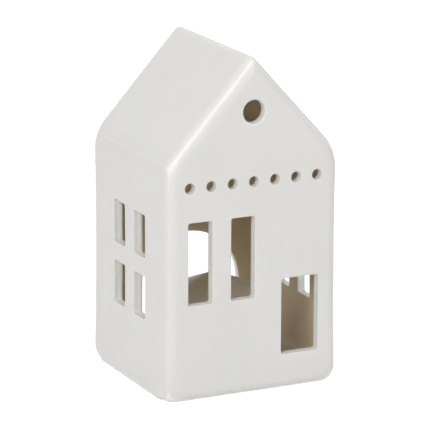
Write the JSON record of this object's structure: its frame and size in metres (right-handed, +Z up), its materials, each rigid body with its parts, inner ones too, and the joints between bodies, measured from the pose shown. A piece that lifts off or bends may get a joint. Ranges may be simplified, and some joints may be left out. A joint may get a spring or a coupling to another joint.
{
  "type": "tealight house",
  "caption": "White glazed porcelain house lantern with cut-out windows, a door and a row of round holes; a short candle slides in at the arched opening in its back wall.",
  "frame": {"origin": "middle of the flat foot, on the surface that the house stands on", "axes": "+Z up; -Y out of the front wall with the door; +X to the right seen from the front"},
  "size_m": [0.0856, 0.082, 0.1528],
  "materials": {
    "glazed_porcelain": "satin",
    "candle_wax": "smooth",
    "wick_cotton": "braided",
    "tinned_steel": "plain"
  },
  "bodies": {
    "house": {"house_shell": "glazed_porcelain"},
    "candle": {"candle_wax": "candle_wax", "candle_wick": "wick_cotton", "wick_sustainer": "tinned_steel"}
  },
  "joints": [
    {"name": "candle_slide", "type": "slide", "parent": "house", "child": "candle", "axis": [0, 1, 0], "range_m": [0, 0.065]}
  ]
}
